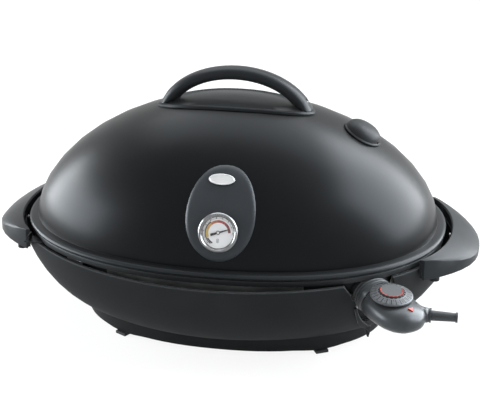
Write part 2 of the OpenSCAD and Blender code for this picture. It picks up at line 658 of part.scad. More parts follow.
dome_steps = [5, 11, 18, 26, 34, 42, 50, 58, 66, 73, 80, 86];
dome_in_steps = [10, 25, 40, 55, 68, 78, 86];
function dome_ring(a, b, z0, h, t) =
  ring(a * pow(cos(t), 2 / dome_m), b * pow(cos(t), 2 / dome_m), lid_n, z0 + h * pow(sin(t), 2 / dome_m),
    seg_lid);
module lid_shell() {
  ia = dome_a - lid_t;
  ib = dome_b - lid_t;
  outer = concat([
    ring(bead_a - 10, bead_b - 10, lid_n, bead_low + 0.9, seg_lid),
    ring(bead_a - 3, bead_b - 3, lid_n, bead_low, seg_lid),
    ring(bead_a - 0.7, bead_b - 0.7, lid_n, bead_low + 1.4, seg_lid),
    ring(bead_a, bead_b, lid_n, bead_z, seg_lid),
    ring(bead_a - 0.8, bead_b - 0.8, lid_n, bead_z + 2.1, seg_lid),
    ring(bead_a - 2.4, bead_b - 2.4, lid_n, bead_z + 3.3, seg_lid),
    ring(bead_a - 5, bead_b - 5, lid_n, bead_z + 3.85, seg_lid),
    ring(bead_a - 10.5, bead_b - 10.8, lid_n, bead_z + 3.9, seg_lid),
    ring(dome_a, dome_b, lid_n, dome_z0, seg_lid)],
    [for (t = dome_steps) dome_ring(dome_a, dome_b, dome_z0, dome_h, t)]);
  inner = concat([for (i = [len(dome_in_steps) - 1 : -1 : 0])
    dome_ring(ia, ib, dome_z0, dome_h - lid_t, dome_in_steps[i])],
    [ring(ia, ib, lid_n, dome_z0 - 3, seg_lid)]);
  color("#26282b") difference() {
    skin(concat(outer, inner), len(outer) - 1);
    for (i = [-1, 1]) at_grip(i) translate([0, 0, -10]) cylinder(r = 2.7, h = 20);
    at_gauge() translate([0, 0, -12]) cylinder(r = stem_hole, h = 24);
    at_vent() {
      translate([0, 0, -12]) cylinder(r = 2.1, h = 24);
      for (i = [0 : vent_holes - 1]) rotate([0, 0, 360 * i / vent_holes]) translate([vent_ring, 0, -12])
        cylinder(r = vent_hole_r, h = 24);
    }
    for (i = [-1, 1], j = [-1, 1]) translate([i * lug_x + j * rivet_dx, rivet_y0, bead_low + 2])
      cylinder(r = rivet_r, h = 20);
  }
}

// Patch of sheet that follows the dome: plan scale and height above the dome for each ring
function over_dome(cx, cy, a, b, c, h, seg) = [for (i = [0 : seg - 1]) let (t = 360 * i / seg,
  x = cx + a * c * cos(t), y = cy + b * c * sin(t)) [x, y, dome_z(x, y) + h]];

base_half = 112;
base_deep = 44;
base_cy = -2.5;         // the base sits a little in front of the middle
base_t = 4;
module handle_base() {
  top = [[1, gap], [1, 2.6], [0.985, base_t - 0.2], [0.95, base_t], [0.915, base_t - 0.6],
    [0.88, base_t - 2],
    [0.7, base_t - 2.2], [0.5, base_t - 2.2], [0.25, base_t - 2.2], [0.04, base_t - 2.2]];
  low = [[0.04, gap], [0.25, gap], [0.45, gap], [0.65, gap], [0.82, gap]];
  rings = [for (p = concat(top, low)) over_dome(0, base_cy, base_half, base_deep, p[0], p[1], seg_small)];
  color("#1d1e20") difference() {
    skin(rings, len(top) - 1, true);
    for (i = [-1, 1]) at_grip(i) translate([0, 0, -10]) cylinder(r = 2.7, h = 24);
  }
}

// Grip: oval section swept over the arch, with its feet cut to the handle base
arch_z = dome_top + arch_rise;
arch_z0 = arch_z - 70;
arch_steps = 26;
arch_seg = 20;
grip_foot = base_t + gap;
function arch_pt(t) = [arch_a * cos(t), arch_z0 + (arch_z - arch_z0) * sin(t)];
function arch_nrm(t) = let (u = [cos(t) / arch_a, sin(t) / (arch_z - arch_z0)]) u / norm(u);
function seat_z(x, y) = dome_z(x, y) + grip_foot;
function grip_ring(t) = let (p = arch_pt(t), n = arch_nrm(t), g = 1 + 0.16 * pow(abs(cos(t)), 6))
  [for (i = [0 : arch_seg - 1]) let (q = 360 * i / arch_seg, r = arc_x(grip_t * g, 2.4, q),
    y = arc_y(grip_w * g, 2.4, q), x = p[0] + n[0] * r) [x, y, max(p[1] + n[1] * r, seat_z(x, y))]];
function drop_to_base(r) = [for (p = r) [p[0], p[1], seat_z(p[0], p[1])]];
arch_end = 27;
module handle_grip() {
  mid = [for (i = [0 : arch_steps]) grip_ring(arch_end + (180 - 2 * arch_end) * i / arch_steps)];
  rings = concat([drop_to_base(grip_ring(16))], mid, [drop_to_base(grip_ring(164))]);
  color("#1d1e20") difference() {
    skin(rings, len(rings) - 1, true);
    for (i = [-1, 1]) at_grip(i) cylinder(r = 2.5, h = 18);
  }
}
module handle_screws() {
  color("silver") for (i = [-1, 1]) at_grip(i) translate([0, 0, -lid_t - 5.5]) {
    cylinder(r = 4.5, h = 3);
    translate([0, 0, 1]) cylinder(r = 2.45, h = 19);
  }
}
module handle_washers() {
  color("gray") for (i = [-1, 1]) at_grip(i) translate([0, 0, -lid_t - 2.4]) difference() {
    cylinder(r = 8, h = 1.5);
    translate([0, 0, -1]) cylinder(r = 2.6, h = 4);
  }
}

// ---- thermometer plate: egg-shaped pad on the front of the dome ----
egg_x = gauge_x;
egg_z = gauge_z + 18;
egg_w = 46;
egg_h = 55;
egg_t = 4.2;
egg_lean = [0, -0.87, 0.5];   // outward direction of the pad
function egg_ring(c, h) = [for (i = [0 : seg_small - 1]) let (t = 360 * i / seg_small,
  n = sin(t) > 0 ? 2.3 : 1.9, x = egg_x + c * arc_x(egg_w, n, t), z = egg_z + c * arc_y(egg_h, 2.05, t))
  [x, dome_y(x, z), z] + egg_lean * h];
module thermometer_plate() {
  top = [[1, gap], [1, 2], [0.97, 3.2], [0.9, 3.9], [0.7, egg_t], [0.4, egg_t], [0.08, egg_t]];
  low = [[0.08, gap], [0.4, gap], [0.7, gap], [0.88, gap]];
  rings = [for (p = concat(top, low)) egg_ring(p[0], p[1])];
  color("#3a3c3f") difference() {
    skin([for (r = rings) [for (i = [seg_small - 1 : -1 : 0]) r[i]]], len(top) - 1, true);
    at_gauge() translate([0, 0, -5]) cylinder(r = bezel_d / 2 - 1.2, h = 30);
  }
}

badge_x = gauge_x - 3;
badge_z = gauge_z + 58;
function oval(a, b, z) = [for (i = [0 : 39]) [a * cos(9 * i), b * sin(9 * i), z]];
module badge() {
  color("white") translate([badge_x, dome_y(badge_x, badge_z), badge_z] + egg_lean * (egg_t + 0.75))
    rotate([90 - 44, 0, 0])
    skin([oval(17, 7.3, 0), oval(17.5, 7.8, 0.3), oval(17.5, 7.8, 1), oval(17, 7.3, 1.3), oval(16.1, 6.5,
      1.3),
      oval(15.7, 6.1, 1)], 5, true);
}

case_r = bezel_d / 2 - 1.5;
case_h = 7.2;
module thermometer_case() {
  color("silver") at_gauge() translate([0, 0, 0.5]) difference() {
    cylinder(r = case_r, h = case_h - 0.5);
    translate([0, 0, 1.2]) cylinder(r = case_r - 1.2, h = case_h);
    translate([0, 0, -1]) cylinder(r = 2.9, h = 4);
  }
}
module thermometer_bezel() {
  color("silver") at_gauge() rotate_extrude() polygon([[case_r + 0.1, 5.2], [bezel_d / 2 - 0.4, 5.2],
    [bezel_d / 2, 6.6], [bezel_d / 2 - 0.3, 8.6], [bezel_d / 2 - 1.6, 9.8], [bezel_d / 2 - 3.2, 9.8],
    [bezel_d / 2 - 4.7, 8.5], [case_r + 0.1, 8.5]]);
}
module thermometer_face() {
  color("white") at_gauge() translate([0, 0, 4.6]) difference() {
    cylinder(r = case_r - 1.3, h = 0.8);
    translate([0, 0, -1]) cylinder(r = 0.75, h = 3);
  }
}
module thermometer_glass() {
  color("lightblue", 0.4) at_gauge() translate([0, 0, case_h + 0.1]) cylinder(r = case_r, h = 1);
}
stem_len = 36;
module thermometer_stem() {
  color("silver") at_gauge() translate([0, 0, -stem_len]) cylinder(r = 2.8, h = stem_len + 2.2);
}
module thermometer_nut() {
  color("silver") at_gauge() translate([0, 0, -lid_t - 6.4]) difference() {
    cylinder(r = 7, h = 4, $fn = 6);
    translate([0, 0, -1]) cylinder(r = 2.85, h = 6);
  }
}
needle_at = 20;
module thermometer_needle() {
  color("black") at_gauge() rotate([0, 0, needle_at]) translate([0, 0, 5.9]) {
    linear_extrude(height = 0.5) polygon([[-8.5, -1.1], [-3, -1.1], [0, -0.5], [14, -0.15], [14, 0.15],
      [0, 0.5], [-3, 1.1], [-8.5, 1.1]]);
    cylinder(r = 1.9, h = 1);
    translate([0, 0, -1.6]) cylinder(r = 0.7, h = 2);
  }
}

// ---- vent cover: a cap that stands off the dome along its own axis, open on its outer side ----
vent_tilt = dome_tilt(vent_x);
vent_nrm = [sin(vent_tilt), sin(2), cos(vent_tilt)];
function vent_cap(c, h) = [for (p = over_dome(vent_x, vent_y, vent_a, vent_b, c, 0, seg_small))
  p + vent_nrm * h];
module vent_cover() {
  top = [[1, gap], [1, 1.8], [0.97, 2.6], [0.93, 3.2], [0.9, 6.5], [0.81, 10], [0.66, 12.8], [0.45, 14.4],
    [0.25, vent_h], [0.06, vent_h]];
  low = [[0.06, vent_h - 2], [0.4, vent_h - 2.8], [0.6, 10.4], [0.74, 7.6], [0.83, 4.6], [0.88, gap]];
  color("#26282b") difference() {
    skin([for (p = concat(top, low)) vent_cap(p[0], p[1])], len(top) - 1, true);
    at_vent() for (i = [-2 : 2]) rotate([0, 0, 22 * i + 20]) translate([14, -2, 1.2]) cube([20, 4, 2.6]);
  }
}
module vent_rivet() {
  color("silver") at_vent() translate([0, 0, -lid_t - 6.2]) {
    cylinder(r = 4, h = 1.2);
    translate([0, 0, 1]) cylinder(r = 2, h = lid_t + 5 + vent_h - 2.5);
    translate([0, 0, lid_t + 6.5]) cylinder(r = 4, h = 1.2);
  }
}
module vent_damper() {
  color("gray") at_vent() translate([0, 0, -lid_t - 4.7]) difference() {
    union() {
      cylinder(r = 19, h = 1.4);
      translate([15, -2, -4]) cube([3, 4, 4.5]);
    }
    translate([0, 0, -1]) cylinder(r = 2.06, h = 4);
    for (i = [0 : vent_holes - 1]) rotate([0, 0, vent_turn + 360 * i / vent_holes])
      translate([vent_ring, 0, -1])
      cylinder(r = vent_hole_r, h = 4);
  }
}

// ---- lid lugs ----
eye_r = 6.5;
module lid_lug(side) {
  zf = bead_z + 4.2;
  color("gray") difference() {
    translate([side * lug_x, 0, 0]) rotate([90, 0, 90]) union() {
      translate([0, 0, -12]) linear_extrude(height = 24)
        polygon([[rivet_y0 - 4.5, zf], [rivet_y0 + 4.5, zf], [rivet_y0 + 4.5, zf + 2],
          [rivet_y0 - 4.5, zf + 2]]);
      translate([0, 0, -lug_w / 2]) linear_extrude(height = lug_w)
        polygon([[rivet_y0 - 4, zf], [rivet_y0 + 4.5, zf], [rivet_y0 + 8, bead_z + 1],
          [hinge_y, hinge_z - eye_r], [hinge_y, hinge_z + eye_r], [rivet_y0 - 3, zf + 6]]);
      translate([hinge_y, hinge_z, -lug_w / 2]) cylinder(r = eye_r, h = lug_w);
    }
    translate([side * lug_x - 20, hinge_y, hinge_z]) rotate([0, 90, 0]) cylinder(r = rod_d / 2 + 0.08,
      h = 40);
    for (j = [-1, 1]) translate([side * lug_x + j * rivet_dx, rivet_y0, bead_z]) cylinder(r = rivet_r,
      h = 12);
  }
}
module lid_lug_left() { lid_lug(-1); }
module lid_lug_right() { lid_lug(1); }
module lug_rivets() {
  color("silver") for (i = [-1, 1], j = [-1, 1]) translate([i * lug_x + j * rivet_dx, rivet_y0,
    bead_low + 2.2]) {
    cylinder(r = rivet_r - 0.05, h = 9);
    translate([0, 0, bead_z + 6.3 - bead_low - 2.2]) cylinder(r = 3.2, h = 1.4);
  }
}

// ======================= heat control =======================
ctl_port = 68;
dial_tilt = 6;
dial_rise = 7.6;
dial_s = 2;
dial_o = -0.5;
dial_z = plug_z + dial_up;
ctl_split = plug_z + 5;
ctl_wall = 2.4;
module at_control() { translate([dial_cx, dial_cy, 0]) rotate([0, 0, ctl_angle]) children(); }
module at_dial() {
  at_control() translate([dial_s, dial_o, dial_z]) rotate([0, dial_tilt, 0])
    translate([0, 0, -dial_rise]) children();
}
// Stations along the control: distance, half width, height of the middle above the pins, half height
ctl_secs = [[-33, 25.5, 12.3, 20.7], [-22, 30.5, 12.2, 20.6], [-9, 33, 11.4, 19.6], [8, 33.5, 10.5, 18.7],
  [22, 32.5, 9.8, 17.6], [34, 29, 9.3, 16], [43, 23.5, 9, 13.5], [49, 16.5, 8.8, 9.8], [52, 9.5, 8.7, 6],
    [53, 3, 8.7, 2]];
ctl_seg = 32;
// The rear ends of the body lean forward above the pins, by less at each station
function ctl_lean(s, z) = max(z - plug_z - 2, 0) * 0.38 * max(min((-9 - s) / 24, 1), 0);
function ctl_ring(p, off) = [for (i = [0 : ctl_seg - 1]) let (t = 360 * i / ctl_seg,
  z = plug_z + p[2] + arc_y(p[3] - off, 2.3, t)) [p[0] + ctl_lean(p[0], z), 1 + arc_x(p[1] - off, 2.3,
    t), z]];
module dial_pocket() { at_dial() translate([0, 0, -gap]) cylinder(r = dial_d / 2 + 0.6, h = 30); }
module ctl_shell() {
  outer = [for (p = ctl_secs) ctl_ring(p, 0)];
  inner = [for (i = [6 : -1 : 0]) ctl_ring(ctl_secs[i], ctl_wall)];
  difference() {
    at_control() skin(concat(outer, inner), len(outer) - 1);
    dial_pocket();
    at_dial() translate([0, 0, -20]) cylinder(r = 3.1, h = 30);
  }
}
module ctl_half(z0, z1) { at_control() translate([-80, -60, z0]) cube([160, 120, z1 - z0]); }
module control_lower() {
  color("#303234") difference() {
    intersection() {
      ctl_shell();
      ctl_half(plug_z - 22, ctl_split - 0.1);
    }
    gland_seat();
    at_control() for (p = ctl_bolts) translate([p[0], p[1], plug_z - 22]) cylinder(r = screw_r, h = 40);
  }
}
lamp_s = 37;
lamp_o = 4;
lamp_tilt = 18;
lamp_z = plug_z + 24.6;
module at_lamp() { at_control() translate([lamp_s, lamp_o, lamp_z]) rotate([0, lamp_tilt, 0])
  children(); }
ctl_bolts = [[-17, -20], [-17, 22], [26, -16]];
module control_upper() {
  color("#303234") difference() {
    union() {
      intersection() {
        ctl_shell();
        ctl_half(ctl_split + 0.1, plug_z + 48);
      }
      at_control() for (p = ctl_bolts) translate([p[0], p[1], ctl_split + 0.1])
        cylinder(r = 3.4, h = 17.5);
    }
    gland_seat();
    at_lamp() translate([0, 0, -8]) cylinder(r = 4.2, h = 16, $fn = 3);
    at_control() for (p = ctl_bolts) translate([p[0], p[1], ctl_split - 1]) cylinder(r = screw_r - 0.1,
      h = 11);
  }
}
module control_screws() {
  color("silver") at_control() for (p = ctl_bolts) translate([p[0], p[1], plug_z - 4.2]) {
    cylinder(r = screw_r - 0.15, h = 18.5);
    translate([0, 0, -0.2]) cylinder(r = screw_r - 0.05, h = 2);
  }
}
neck_top = plug_z + 36.8;
neck_low = plug_z - 9;
neck_w = 26;
neck_n = 2.2;           // roundness of the neck section
neck_s0 = -54;
neck_s1 = -34;
neck_ribs = [-49, -45.5, -42];
neck_path = concat([[neck_s0, 0]], [for (s = neck_ribs) each [[s - 1, 0], [s - 0.6, 0.8], [s + 0.6, 0.8],
  [s + 1, 0]]],
  [[neck_s1 - 1, 0], [neck_s1, -0.6]]);
function neck_lean(s, z) = max(z - plug_z - 2, 0) * 0.38 * (s - neck_s0) / (neck_s1 - neck_s0);
function neck_ring(s, off) = [for (i = [0 : ctl_seg - 1]) let (t = 360 * i / ctl_seg,
  z = (neck_top + neck_low) / 2 + arc_y((neck_top - neck_low) / 2 + off, neck_n, t))
  [s + neck_lean(s, z), 1 + arc_x(neck_w + off, neck_n, t), z]];
// Room that the plate takes up, with a clearance, from a given height upwards
module plate_room(inset, z) {
  translate([0, 0, z]) linear_extrude(height = 60)
    polygon([for (p = ring(plate_a - inset, plate_b - inset, lid_n, 0, seg_lid)) [p[0], p[1]]]);
}
// Room that the left edge of the bay takes up, with a clearance
module bay_edge_room() {
  translate([0, -150, 0]) rotate([90, 0, 0]) linear_extrude(height = 40)
    polygon([[bay_x0 - 30, bay_z0], [bay_x0 + 2.4, bay_z0], [bay_x0 + 2.4, bay_z1],
      [bay_x0 - 7.2, rim_z - 12], [bay_x0 - bay_lean - 0.2, rim_z + 5], [bay_x0 - 30, rim_z + 5]]);
}
module control_neck() {
  rings = concat([for (p = neck_path) neck_ring(p[0], p[1])], [neck_ring(neck_s1, -ctl_wall),
    neck_ring(neck_s0, -ctl_wall)]);
  color("#303234") difference() {
    at_control() skin(rings);
    plate_room(-2.5, band_z - 0.8);
    plate_room(body_in - 1.5, plate_z - 1.5);
    bay_edge_room();
    dial_pocket();
  }
}
// Inner frame: carries the contacts, the probe and the switch under the dial
module thermostat_frame() {
  color("ivory") at_control() difference() {
    union() {
      translate([-28, -15.7, plug_z - 2.5]) cube([4, 33.4, 24.5]);
      translate([-28, -11, plug_z - 3.4]) cube([42, 24, 2.4]);
      translate([-8, -9, plug_z - 2]) cube([20, 19, 16]);
    }
    for (j = [-1, 1]) translate([-40, j * pin_y, plug_z]) rotate([0, 90, 0]) cylinder(r = 3.8, h = 30);
    translate([-40, 0, plug_z]) rotate([0, 90, 0]) cylinder(r = 3.05, h = 30);
  }
}
module probe_tube() {
  color("silver") at_control() translate([-74, 0, plug_z]) rotate([0, 90, 0]) cylinder(r = 3, h = 60);
}
module contact_sleeves() {
  color("goldenrod") at_control() for (j = [-1, 1]) translate([-46, j * pin_y, plug_z])
    rotate([0, 90, 0]) difference() {
    cylinder(r = 3.7, h = 22);
    translate([0, 0, -1]) cylinder(r = 2.4, h = 18);
  }
}
module indicator_lens() {
  color("red") at_lamp() translate([0, 0, -3]) cylinder(r = 4, h = 4.4, $fn = 3);
}
module indicator_lamp() {
  color("orange") at_lamp() translate([0, 0, -12]) {
    cylinder(r = 1.8, h = 7);
    translate([0, 0, 7]) sphere(r = 1.8, $fn = 24);
  }
}

gland_y = dial_cy - 4;
gland_z = plug_z + 8.5;
gland_x0 = dial_cx + 38;
gland_x1 = gland_x0 + 15;
gland_x2 = gland_x0 + 49;
module gland_seat() {
  translate([gland_x0, gland_y, gland_z]) rotate([0, 90, 0]) {
    translate([0, 0, -16]) cylinder(r = 6.2, h = 40);
    translate([0, 0, 4.8]) cylinder(r = 9.9, h = 30);
  }
}
module gland_collar() {
  color("#303234") translate([gland_x0, gland_y, gland_z]) rotate([0, 90, 0]) difference() {
    union() {
      translate([0, 0, 5]) cylinder(r1 = 9.6, r2 = 9, h = gland_x1 - gland_x0 - 7);
      translate([0, 0, gland_x1 - gland_x0 - 2.2]) cylinder(r = 9.6, h = 2.2);
      cylinder(r = 6.1, h = 8);
    }
    translate([0, 0, -1]) cylinder(r = 4.1, h = 30);
  }
}
module cord_gland() {
  color("black") translate([gland_x0 - 2, gland_y, gland_z]) rotate([0, 90, 0]) difference() {
    union() {
      cylinder(r = 4, h = 20);
      translate([0, 0, gland_x1 - gland_x0 + 2.2]) cylinder(r1 = sleeve_d / 2 + 0.3,
        r2 = sleeve_d / 2 - 0.8, h = gland_x2 - gland_x1 - 3);
      translate([0, 0, gland_x2 - gland_x0 - 1]) cylinder(r = sleeve_d / 2 + 0.2, h = 3);
      translate([0, 0, -1.5]) cylinder(r = 5.6, h = 1.6);
    }
    translate([0, 0, -5]) cylinder(r = 3, h = 80);
  }
}

// ======================= dial =======================
cap_r = 16;
module dial_skirt() {
  r = dial_d / 2;
  color("#3c3e40") at_dial() difference() {
    rotate_extrude() polygon([[0, 0], [r - 0.4, 0], [r, 0.5], [r, 2], [r - 1, 3], [cap_r + 1.5,
      dial_rise - 1.4], [0, dial_rise - 1.4]]);
    translate([0, 0, -1]) cylinder(r = 3, h = dial_rise - 2.5);
    for (i = [0 : 23]) rotate([0, 0, 15 * i]) translate([r - 9, 0, dial_rise - 3.4]) rotate([0, 22, 0])
      translate([0, -0.35, 0]) cube([7.5, 0.7, 4]);
  }
}
module dial_cap() {
  color("#4a4c4e") at_dial() translate([0, 0, dial_rise - 1.3]) cylinder(r = cap_r, h = 1.3);
}
module dial_arc() {
  color("red") at_dial() translate([0, 0, dial_rise + 0.05]) rotate([0, 0, -150])
    rotate_extrude(angle = 230)
    translate([cap_r - 1.9, 0]) square([1.4, 0.4]);
}
module dial_spindle() {
  color("silver") at_dial() translate([0, 0, -11]) cylinder(r = 2.95, h = dial_rise + 6.5);
}

base_bowl();
foot_ring();
rubber_feet();
ring_screws();
side_handle_left();
side_handle_right();
side_handle_screws();
heat_shield();
shield_posts();
post_screws();
bay_wall();
bay_rib();
grill_plate();
heating_element();
element_clips();
terminal_block();
terminal_pins();
hinge_bracket_left();
hinge_bracket_right();
bracket_screws();
tray_runners();
drip_tray();
tray_panel();
hinge_rod();
rod_caps();
lid_shell();
handle_base();
handle_grip();
handle_screws();
handle_washers();
thermometer_plate();
badge();
thermometer_case();
thermometer_bezel();
thermometer_face();
thermometer_glass();
thermometer_stem();
thermometer_nut();
vent_cover();
vent_rivet();
lid_lug_left();
lid_lug_right();
lug_rivets();
thermometer_needle();
vent_damper();
control_lower();
control_upper();
control_neck();
thermostat_frame();
probe_tube();
contact_sleeves();
indicator_lens();
indicator_lamp();
gland_collar();
cord_gland();
control_screws();
dial_skirt();
dial_cap();
dial_arc();
dial_spindle();
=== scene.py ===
import json
import math

import bmesh
import bpy
from mathutils import Matrix, Vector


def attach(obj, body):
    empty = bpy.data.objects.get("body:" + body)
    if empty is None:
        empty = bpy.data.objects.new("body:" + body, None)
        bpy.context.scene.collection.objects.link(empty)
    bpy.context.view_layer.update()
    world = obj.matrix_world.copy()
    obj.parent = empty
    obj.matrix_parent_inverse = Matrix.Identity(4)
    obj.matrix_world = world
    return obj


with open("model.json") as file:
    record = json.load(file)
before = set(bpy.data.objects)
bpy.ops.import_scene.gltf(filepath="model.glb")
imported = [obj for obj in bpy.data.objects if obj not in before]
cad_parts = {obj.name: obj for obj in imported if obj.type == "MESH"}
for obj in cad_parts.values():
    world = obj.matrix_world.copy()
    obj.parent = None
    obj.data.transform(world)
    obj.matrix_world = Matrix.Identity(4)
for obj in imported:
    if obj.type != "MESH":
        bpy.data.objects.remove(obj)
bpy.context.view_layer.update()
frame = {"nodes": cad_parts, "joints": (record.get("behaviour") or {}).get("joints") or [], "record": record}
NODES = frame["nodes"]
JOINTS = {j["name"]: j for j in frame["joints"]}
SLOT_OF = {s["node"]: s["material_slot"] for s in frame["record"]["subparts"]}
MM = 0.001

# ------------------------------------------------------------------ camera

PHOTO_W, PHOTO_H = 480, 420         # the photograph's frame, in pixels
PHOTO_FOCAL = 1385.5                # focal length in pixels
PHOTO_CENTRE = (236.4, 213.0)       # where the optical axis meets the frame
EYE = Vector((0.35257, -1.81381, 0.91537))
LOOK_AT = Vector((0, 0, 0.150))

scene = bpy.context.scene
cam_data = bpy.data.cameras.new("photo_camera")
cam = bpy.data.objects.new("photo_camera", cam_data)
scene.collection.objects.link(cam)
cam.location = EYE
cam.rotation_mode = "QUATERNION"
cam.rotation_quaternion = (LOOK_AT - EYE).to_track_quat("-Z", "Y")
cam_data.sensor_width = 36
cam_data.lens = PHOTO_FOCAL / PHOTO_W * cam_data.sensor_width
cam_data.shift_x = (PHOTO_W / 2 - PHOTO_CENTRE[0]) / PHOTO_W
cam_data.shift_y = (PHOTO_CENTRE[1] - PHOTO_H / 2) / PHOTO_W
cam_data.clip_end = 60
scene.camera = cam

# ------------------------------------------------------------------ node helpers


def new_shader(name):
    """A material with one Principled shader. Returns it, its tree and the shader."""
    mat = bpy.data.materials.new(name)
    mat.use_nodes = True
    tree = mat.node_tree
    tree.nodes.clear()
    out = tree.nodes.new("ShaderNodeOutputMaterial")
    bsdf = tree.nodes.new("ShaderNodeBsdfPrincipled")
    tree.links.new(bsdf.outputs[0], out.inputs[0])
    return mat, tree, bsdf


def put(tree, kind, inputs=None, **settings):
    """Adds a node, sets its properties and fills its inputs with values or links."""
    n = tree.nodes.new(kind)
    for key, value in settings.items():
        setattr(n, key, value)
    for key, value in (inputs or {}).items():
        if isinstance(value, bpy.types.NodeSocket):
            tree.links.new(value, n.inputs[key])
        else:
            n.inputs[key].default_value = value
    return n


def coords(tree, stretch=(1, 1, 1)):
    """Object coordinates, scaled along each axis."""
    tc = put(tree, "ShaderNodeTexCoord")
    return put(tree, "ShaderNodeMapping", {"Vector": tc.outputs["Object"], "Scale": stretch}).outputs[0]


def noise(tree, vec, scale, detail=3.0, rough=0.55):
    """Noise from 0 to 1, with scale in cells per metre."""
    n = put(tree, "ShaderNodeTexNoise", {"Vector": vec, "Scale": scale, "Detail": detail, "Roughness": rough})
    return n.outputs["Fac"]


def spread(tree, fac, low, high, a=0.3, b=0.7):
    """Maps a to b onto low to high, and clamps; a noise seldom leaves the default 0.3 to 0.7."""
    n = put(tree, "ShaderNodeMapRange", {"Value": fac, "From Min": a, "From Max": b, "To Min": low, "To Max": high})
    return n.outputs["Result"]


def calc(tree, op, a, b):
    """One sum, product or other math operation of two numbers or sockets."""
    return put(tree, "ShaderNodeMath", {0: a, 1: b}, operation=op).outputs[0]


def mixed(tree, fac, a, b):
    """Mix of two colours, each a triple or a socket."""
    a = a if isinstance(a, bpy.types.NodeSocket) else (*a, 1)
    b = b if isinstance(b, bpy.types.NodeSocket) else (*b, 1)
    return put(tree, "ShaderNodeMix", {"Factor": fac, "A": a, "B": b}, data_type="RGBA").outputs["Result"]


def rounded(tree, radius):
    """Normal of the solid with its edges rounded off, and how near a point is to an edge."""
    soft = put(tree, "ShaderNodeBevel", {"Radius": radius}, samples=4).outputs[0]
    flat = put(tree, "ShaderNodeNewGeometry").outputs["Normal"]
    dot = put(tree, "ShaderNodeVectorMath", {0: soft, 1: flat}, operation="DOT_PRODUCT").outputs["Value"]
    return soft, spread(tree, dot, 1.0, 0.0, 0.80, 0.995)


COOL = (0.86, 0.93, 1.0, 1)     # the slightly blue sheen of all the dark plastic and paint


def surface(name, dark, light, rough, metallic=0.0, spec=0.5, grain=1100.0, grain_d=0.02, blot=14.0,
            stretch=(1, 1, 1), edge=None, edge_r=0.6, peel=0.0, painted_light_below=None):
    """Moulded, painted or drawn surface: colour and roughness that drift, fine grain, softened edges.

    rough is a pair, grain_d and edge_r are in millimetres, and edge is the colour that edges turn to, partly as wear
    and partly as a painted highlight along them.
    The last argument is a height in millimetres and a lighter colour painted on the surface lower than that height,
    as a painted highlight.
    """
    mat, tree, bsdf = new_shader(name)
    vec = coords(tree, stretch)
    drift = noise(tree, coords(tree), blot, 4.0)
    fine = noise(tree, vec, grain, 2.0)
    normal, near_edge = rounded(tree, edge_r * MM)
    colour = mixed(tree, spread(tree, drift, 0, 1), dark, light)
    colour = mixed(tree, spread(tree, fine, 0, 0.35), colour, light)
    # painted highlight: lower than the given height the colour turns to a lighter one
    if painted_light_below:
        z, painted_lit_colour = painted_light_below
        height = put(tree, "ShaderNodeSeparateXYZ", {0: coords(tree)}).outputs["Z"]
        colour = mixed(tree, spread(tree, height, 1, 0, (z - 1) * MM, (z + 1) * MM), colour, painted_lit_colour)
    # edges turn towards the edge colour: partly wear, partly a painted highlight along them
    if edge:
        colour = mixed(tree, calc(tree, "MULTIPLY", near_edge, spread(tree, fine, 0.35, 0.9)), colour, edge)
    tree.links.new(colour, bsdf.inputs["Base Color"])
    dull = calc(tree, "ADD", spread(tree, drift, *rough), spread(tree, fine, -0.03, 0.03))
    tree.links.new(dull, bsdf.inputs["Roughness"])
    if peel:
        wave = noise(tree, coords(tree), 260.0, 1.0)
        normal = put(tree, "ShaderNodeBump", {"Strength": 0.35, "Distance": peel * MM, "Height": wave,
                                              "Normal": normal}).outputs[0]
    bump = put(tree, "ShaderNodeBump", {"Strength": 0.3, "Distance": grain_d * MM, "Height": fine, "Normal": normal})
    tree.links.new(bump.outputs[0], bsdf.inputs["Normal"])
    bsdf.inputs["Metallic"].default_value = metallic
    bsdf.inputs["Specular IOR Level"].default_value = spec
    if not metallic:
        bsdf.inputs["Specular Tint"].default_value = COOL
    return mat


def grey(v, tint=0.0):
    """Neutral colour of that linear level, a little bluer with tint."""
    return (v * (1 - tint), v, v * (1 + tint))


# ------------------------------------------------------------------ materials by record slot


def plate_coating():
    """Dark non-stick coating with fine pale flecks."""
    mat, tree, bsdf = new_shader("plate_metal")
    vec = coords(tree)
    drift = noise(tree, vec, 9.0, 4.0)
    fine = noise(tree, vec, 1500.0, 2.0)
    fleck = put(tree, "ShaderNodeTexVoronoi", {"Vector": vec, "Scale": 620.0}).outputs["Distance"]
    colour = mixed(tree, spread(tree, drift, 0, 1), grey(0.014, 0.05), grey(0.020, 0.05))
    colour = mixed(tree, spread(tree, fleck, 0.75, 0.0, 0.05, 0.16), colour, grey(0.11, 0.05))
    normal, near_edge = rounded(tree, 0.7 * MM)
    colour = mixed(tree, calc(tree, "MULTIPLY", near_edge, 0.4), colour, grey(0.05, 0.05))
    tree.links.new(colour, bsdf.inputs["Base Color"])
    tree.links.new(calc(tree, "ADD", spread(tree, drift, 0.42, 0.55), spread(tree, fine, -0.05, 0.05)),
                   bsdf.inputs["Roughness"])
    bump = put(tree, "ShaderNodeBump", {"Strength": 0.35, "Distance": 0.03 * MM, "Height": fine, "Normal": normal})
    tree.links.new(bump.outputs[0], bsdf.inputs["Normal"])
    bsdf.inputs["Specular IOR Level"].default_value = 0.2
    bsdf.inputs["Specular Tint"].default_value = COOL
    return mat


def clear_glass():
    """Clear, slightly smeared glass of the gauge."""
    mat, tree, bsdf = new_shader("glass")
    smear = noise(tree, coords(tree), 60.0, 3.0)
    tree.links.new(spread(tree, smear, 0.01, 0.05), bsdf.inputs["Roughness"])
    bsdf.inputs["Base Color"].default_value = (1, 1, 1, 1)
    bsdf.inputs["Transmission Weight"].default_value = 1.0
    bsdf.inputs["IOR"].default_value = 1.45
    return mat


BEAD_TOP = 152.5                # the lid's bead is the part lower than this height, in mm, and is painted lighter there as a painted highlight
